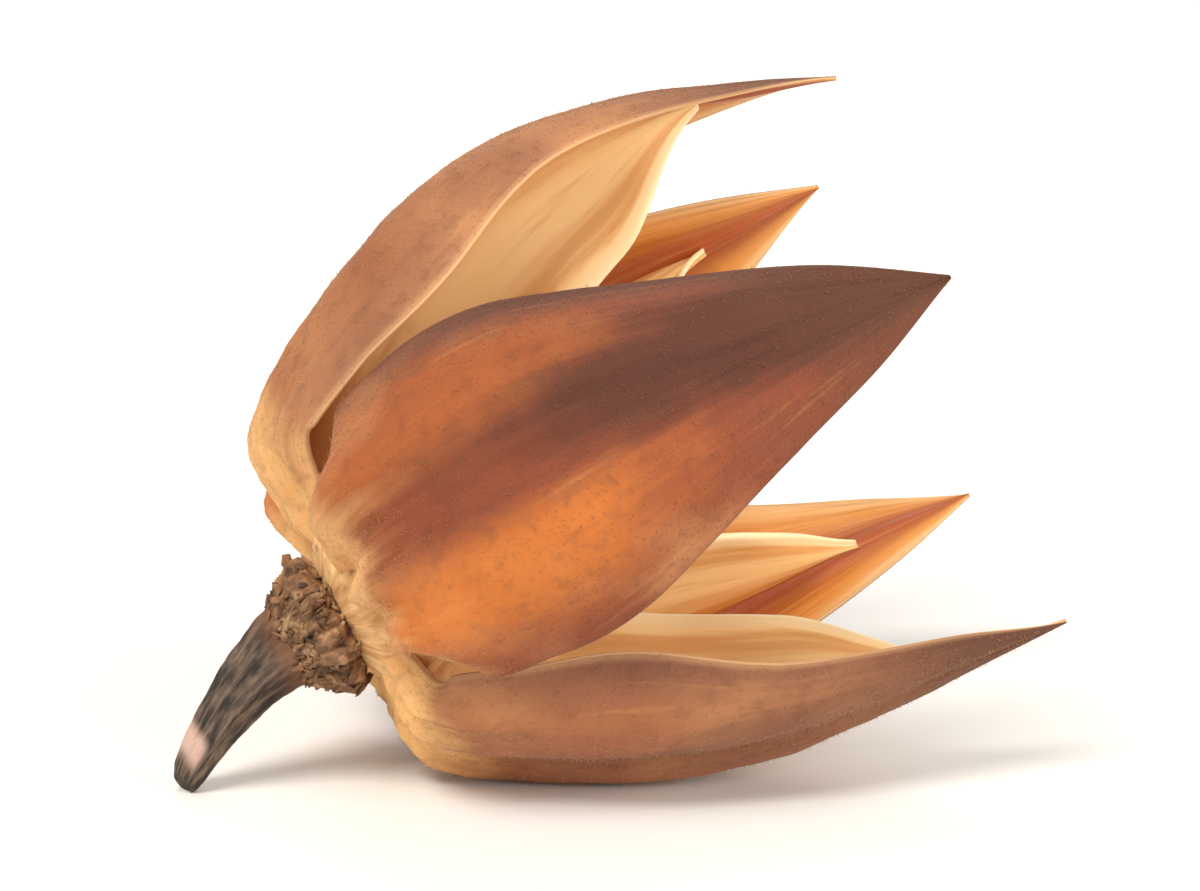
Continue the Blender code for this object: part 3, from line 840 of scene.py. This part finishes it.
def turned_mesh(name, profile, rings, sides, fold):
    """The profile turned round the axis in fine steps, with folds, and closed at both poles."""
    radius, height = np.array(profile).T * MM
    length = np.concatenate([[0.0], np.cumsum(np.hypot(np.diff(radius), np.diff(height)))])
    fine = np.linspace(0, length[-1], rings)
    radius, height = np.interp(fine, length, radius), np.interp(fine, length, height)
    work = bmesh.new()
    note = work.verts.layers.float.new("share")
    spin = work.verts.layers.float.new("across")
    bearing = work.verts.layers.float.new("bearing")
    circles = []
    for i in range(1, rings - 1):
        circle = []
        for angle in np.arange(sides) * 2 * math.pi / sides:
            reach, rise = fold(radius[i], height[i], angle)
            corner = work.verts.new((reach * math.cos(angle), reach * math.sin(angle), rise))
            corner[note], corner[spin] = fine[i] / length[-1], angle / math.pi
            corner[bearing] = 1.0
            circle.append(corner)
        circles.append(circle)
    poles = ((0, 0, height[0]), 0.0), ((0, 0, height[-1]), 1.0)
    return skin_over(name, work, circles, poles, note)


def folded_floor(radius, height, angle):
    """Where the floor's skin lies once it is drawn into folds."""
    near_seam = min(abs((math.degrees(angle) - valve.azimuth + 180) % 360 - 180) for valve in VALVES)
    pinch = FLOOR_PINCH * math.cos(math.radians(near_seam) * 5)
    ripple = FLOOR_RIPPLE * math.sin(17 * angle + 1.3) * math.sin(5 * angle + 700 * height)
    ripple += FLOOR_FINE_RIPPLE * math.sin(41 * angle + 900 * height)
    share = min(radius / (4 * MM), 1.0)
    return radius + (pinch + ripple - FLOOR_SUNK) * share, height + 0.5 * ripple * share


def floor_finish():
    """Cream-tan crinkled tissue with brown specks and darker folds."""
    finish, tree, shader = new_finish("crinkled base", 0.8, 0.25, 0.5 * MM)
    share, across = mark(tree, "share"), mark(tree, "across")
    dry = tissue(tree, share, across, 26.0, 5.0, 1200.0)
    uneven = maths(tree, "SUBTRACT", dry["Fibre"], 0.5)
    skin = mixed(tree, eased(tree, uneven, -0.2, 0.2), FLOOR_FOLD, FLOOR_TAN)
    grain = eased(tree, dry["Grain"], 0.56, 0.72, 0.0, 0.6)
    skin = mixed(tree, grain, skin, FLOOR_SPECK)
    tree.links.new(skin, shader.inputs["Base Color"])
    tree.links.new(maths(tree, "ADD", product(tree, uneven, 0.3), 0.78), shader.inputs["Roughness"])
    bumped(tree, shader, dry["Height"], 0.7, 0.2 * MM)
    return finish


pod_floor = new_piece("pod_floor", turned_mesh("pod_floor", FLOOR_PROFILE, 60, 160, folded_floor))
pod_floor.data.materials.append(floor_finish())
laid_piece(pod_floor, "capsule")

# What is left of the calyx: a torn, crumbling collar of papery tissue between the pod and its stem,
# grey-brown and cream, with loose chips still held on it. Its profile is in mm, as the floor's is.
CALYX_BROWN = colour_of(78, 54, 40)
CALYX_TAN = colour_of(158, 116, 80)
CALYX_CREAM = colour_of(210, 172, 128)
CALYX_TORN = 0.4 * MM
CALYX_FRAYED = 0.1 * MM
CALYX_LIFT = 0.12 * MM
CALYX_PROFILE = (
    (0.0, -0.5),
    (1.5, -0.55),
    (2.0, -0.95),
    (2.05, -1.4),
    (1.7, -1.95),
    (1.3, -2.55),
    (0.0, -2.65),
)
CHIPS = {
    "Per square metre": 9e6,
    "Seed": 3,
    "Sides": 5,
    "Top width": 0.7,
    "Size": (0.26 * MM, 0.2 * MM, 0.07 * MM),
    "Lean": 1.1,
}


def torn_rim(radius, height, angle):
    """Where the collar's skin lies once its lobes have torn and frayed."""
    stub = abs(math.sin(angle * 3.5 + 0.4)) - 0.5
    fray = math.sin(13 * angle + 1.1) + math.sin(19 * angle + 2.6)
    fray += 0.7 * math.sin(37 * angle + 400 * height)
    wide = (radius / (2.1 * MM)) ** 2
    lift = CALYX_LIFT * math.sin(9 * angle) * wide
    return radius + (CALYX_TORN * stub + CALYX_FRAYED * fray) * wide, height + lift


def calyx_finish():
    """Crumbled papery tissue, from grey-brown to cream."""
    finish, tree, shader = new_finish("torn calyx", 0.85, 0.1, 0.3 * MM)
    share, across = mark(tree, "share"), mark(tree, "across")
    dry = tissue(tree, share, across, 22.0, 9.0, 1500.0)
    uneven = maths(tree, "SUBTRACT", dry["Fibre"], 0.5)
    skin = mixed(tree, eased(tree, uneven, -0.2, 0.2), CALYX_BROWN, CALYX_TAN)
    skin = mixed(tree, eased(tree, dry["Grain"], 0.52, 0.7, 0.0, 0.5), skin, CALYX_CREAM)
    tree.links.new(skin, shader.inputs["Base Color"])
    bumped(tree, shader, dry["Height"], 1.0, 0.3 * MM)
    return finish


calyx_coat = calyx_finish()
calyx_collar = new_piece("calyx_collar", turned_mesh("calyx_collar", CALYX_PROFILE, 44, 140, torn_rim))
calyx_collar.data.materials.append(calyx_coat)
chips = grown("calyx_chips", calyx_collar.data.copy(), strewn, {**CHIPS, "Finish": calyx_coat})
laid_piece(calyx_collar, "calyx_remains")
laid_piece(chips, "calyx_remains")

# The stem: a short woody stalk, ridged and dark with age, that slants and tapers to where it was
# picked. A paler patch shows near its tip, where the bark has come off. Its radii are in mm, each at
# its share of the stem's length.
STEM_TOP = -2.5 * MM
STEM_LENGTH = 5.0 * MM
STEM_SLANT = 2.4 * MM
STEM_KNOB = 0.12 * MM
STEM_RADII = ((0.0, 1.3), (0.12, 1.2), (0.4, 1.0), (0.75, 0.75), (0.94, 0.58), (1.0, 0.42))
DARK_BARK = colour_of(44, 36, 32)
PALE_RIDGE = colour_of(128, 106, 88)
BROWN_COLLAR = colour_of(126, 84, 56)
BARE_PATCH = colour_of(206, 172, 156)


def stalk_mesh(rings=90, sides=64):
    """The stalk's bark as closed rings, ridged along its length and wrinkled."""
    shares, radii = np.array(STEM_RADII).T
    work = bmesh.new()
    note = work.verts.layers.float.new("share")
    spin = work.verts.layers.float.new("across")
    circles = []
    for share in np.linspace(0, 1, rings):
        circle = []
        for angle in np.arange(sides) * 2 * math.pi / sides:
            ridge = 0.1 * math.cos(4 * angle + 1.5 * share)
            ridge += 0.045 * math.sin(11 * angle + 3 * share) + 0.03 * math.sin(19 * angle + 23 * share)
            radius = curve_through(shares, radii * MM, share) * (0.97 + ridge)
            centre = STEM_SLANT * share**1.5
            knob = STEM_KNOB * math.sin(9 * share + angle) * smooth_step((share - 0.9) * 10)
            height = STEM_TOP - STEM_LENGTH * share + knob
            corner = work.verts.new((centre + radius * math.cos(angle), radius * math.sin(angle), height))
            corner[note], corner[spin] = share, angle / math.pi
            circle.append(corner)
        circles.append(circle)
    ends = (circles[0], 0.0), (circles[-1], 1.0)
    poles = [(sum((corner.co for corner in circle), Vector()) / sides, share) for circle, share in ends]
    return skin_over("stalk", work, circles, poles, note)


def bark_finish():
    """Dark grey-brown bark with paler ridges and a bare, pinkish patch near the tip."""
    finish, tree, shader = new_finish("dark bark", 0.85, 0.05, 0.2 * MM)
    share, across = mark(tree, "share"), mark(tree, "across")
    dry = tissue(tree, share, across, 12.0, 5.0, 1500.0)
    uneven = maths(tree, "SUBTRACT", dry["Fibre"], 0.5)
    bark = mixed(tree, eased(tree, uneven, -0.15, 0.25), DARK_BARK, PALE_RIDGE)
    bark = mixed(tree, eased(tree, share, 0.0, 0.22, 0.75, 0.0), bark, BROWN_COLLAR)
    bare = product(tree, eased(tree, share, 0.72, 0.8), eased(tree, share, 0.86, 0.95, 1.0, 0.0))
    around = maths(tree, "ABSOLUTE", maths(tree, "SUBTRACT", across, 1.1))
    bare = product(tree, bare, eased(tree, around, 0.2, 0.45, 1.0, 0.0))
    bark = mixed(tree, bare, bark, BARE_PATCH)
    tree.links.new(bark, shader.inputs["Base Color"])
    bumped(tree, shader, dry["Height"], 0.9, 0.25 * MM)
    return finish


stalk = new_piece("stalk", stalk_mesh())
stalk.data.materials.append(bark_finish())
laid_piece(stalk, "stem")

# The table that the pod lies on: a pale, matt sheet that is wide enough to show no edge, as the white
# ground in the photo. The soft lights of the studio and the camera stand over it.
TABLE_HALF = 3.0
table_mesh = bpy.data.meshes.new("table")
table_corners = [(x * TABLE_HALF, y * TABLE_HALF, 0) for x, y in ((-1, -1), (1, -1), (1, 1), (-1, 1))]
table_mesh.from_pydata(table_corners, [], [(0, 1, 2, 3)])
table = new_piece("table", table_mesh)
table_coat = bpy.data.materials.new("pale table")
table_coat.use_nodes = True
table_shader = table_coat.node_tree.nodes["Principled BSDF"]
table_shader.inputs["Base Color"].default_value = (0.86, 0.86, 0.85, 1.0)
table_shader.inputs["Roughness"].default_value = 0.9
table_mesh.materials.append(table_coat)

sky = bpy.data.worlds.new("studio")
sky.use_nodes = True
sky.node_tree.nodes["Background"].inputs["Color"].default_value = (1.0, 0.985, 0.96, 1.0)
sky.node_tree.nodes["Background"].inputs["Strength"].default_value = 0.5
bpy.context.scene.world = sky
bpy.context.scene.view_settings.view_transform = "Standard"

# Each lamp by its place, width and power, in metres and watts. It is turned to the pod's middle.
LAMP_COLOUR = (1.0, 0.95, 0.87)
POD_MIDDLE = Vector((0, 0, 0.01))
LAMPS = (
    ("key", (-0.35, -0.25, 0.55), 0.32, 4.0),
    ("fill", (0.4, -0.45, 0.2), 0.4, 3.0),
    ("back", (0.1, 0.45, 0.35), 0.4, 1.2),
)
for name, place, size, power in LAMPS:
    lamp = bpy.data.lights.new(name, "AREA")
    lamp.shape = "DISK"
    lamp.size = size
    lamp.energy = power
    lamp.color = LAMP_COLOUR
    holder = bpy.data.objects.new(name, lamp)
    holder.location = place
    holder.rotation_euler = (POD_MIDDLE - Vector(place)).to_track_quat("-Z", "Y").to_euler()
    bpy.context.scene.collection.objects.link(holder)

# The camera stands at the photo's viewing angle. VIEW_WIDTH is how much it takes in at the pod.
VIEW_AZIMUTH = math.radians(-15.0)
VIEW_ELEVATION = math.radians(16.0)
VIEW_DISTANCE = 0.45
VIEW_WIDTH = 0.0385
view_centre = Vector((0.0, 0.0, 0.0103))
away = Vector(
    (
        math.sin(VIEW_AZIMUTH) * math.cos(VIEW_ELEVATION),
        -math.cos(VIEW_AZIMUTH) * math.cos(VIEW_ELEVATION),
        math.sin(VIEW_ELEVATION),
    )
)
lens = bpy.data.cameras.new("camera")
lens.sensor_width = 36.0
lens.lens = lens.sensor_width * VIEW_DISTANCE / VIEW_WIDTH
lens.clip_start = 0.01
camera = bpy.data.objects.new("camera", lens)
camera.location = view_centre + away * VIEW_DISTANCE
camera.rotation_euler = (-away).to_track_quat("-Z", "Y").to_euler()
bpy.context.scene.collection.objects.link(camera)
bpy.context.scene.camera = camera

bpy.context.view_layer.update()
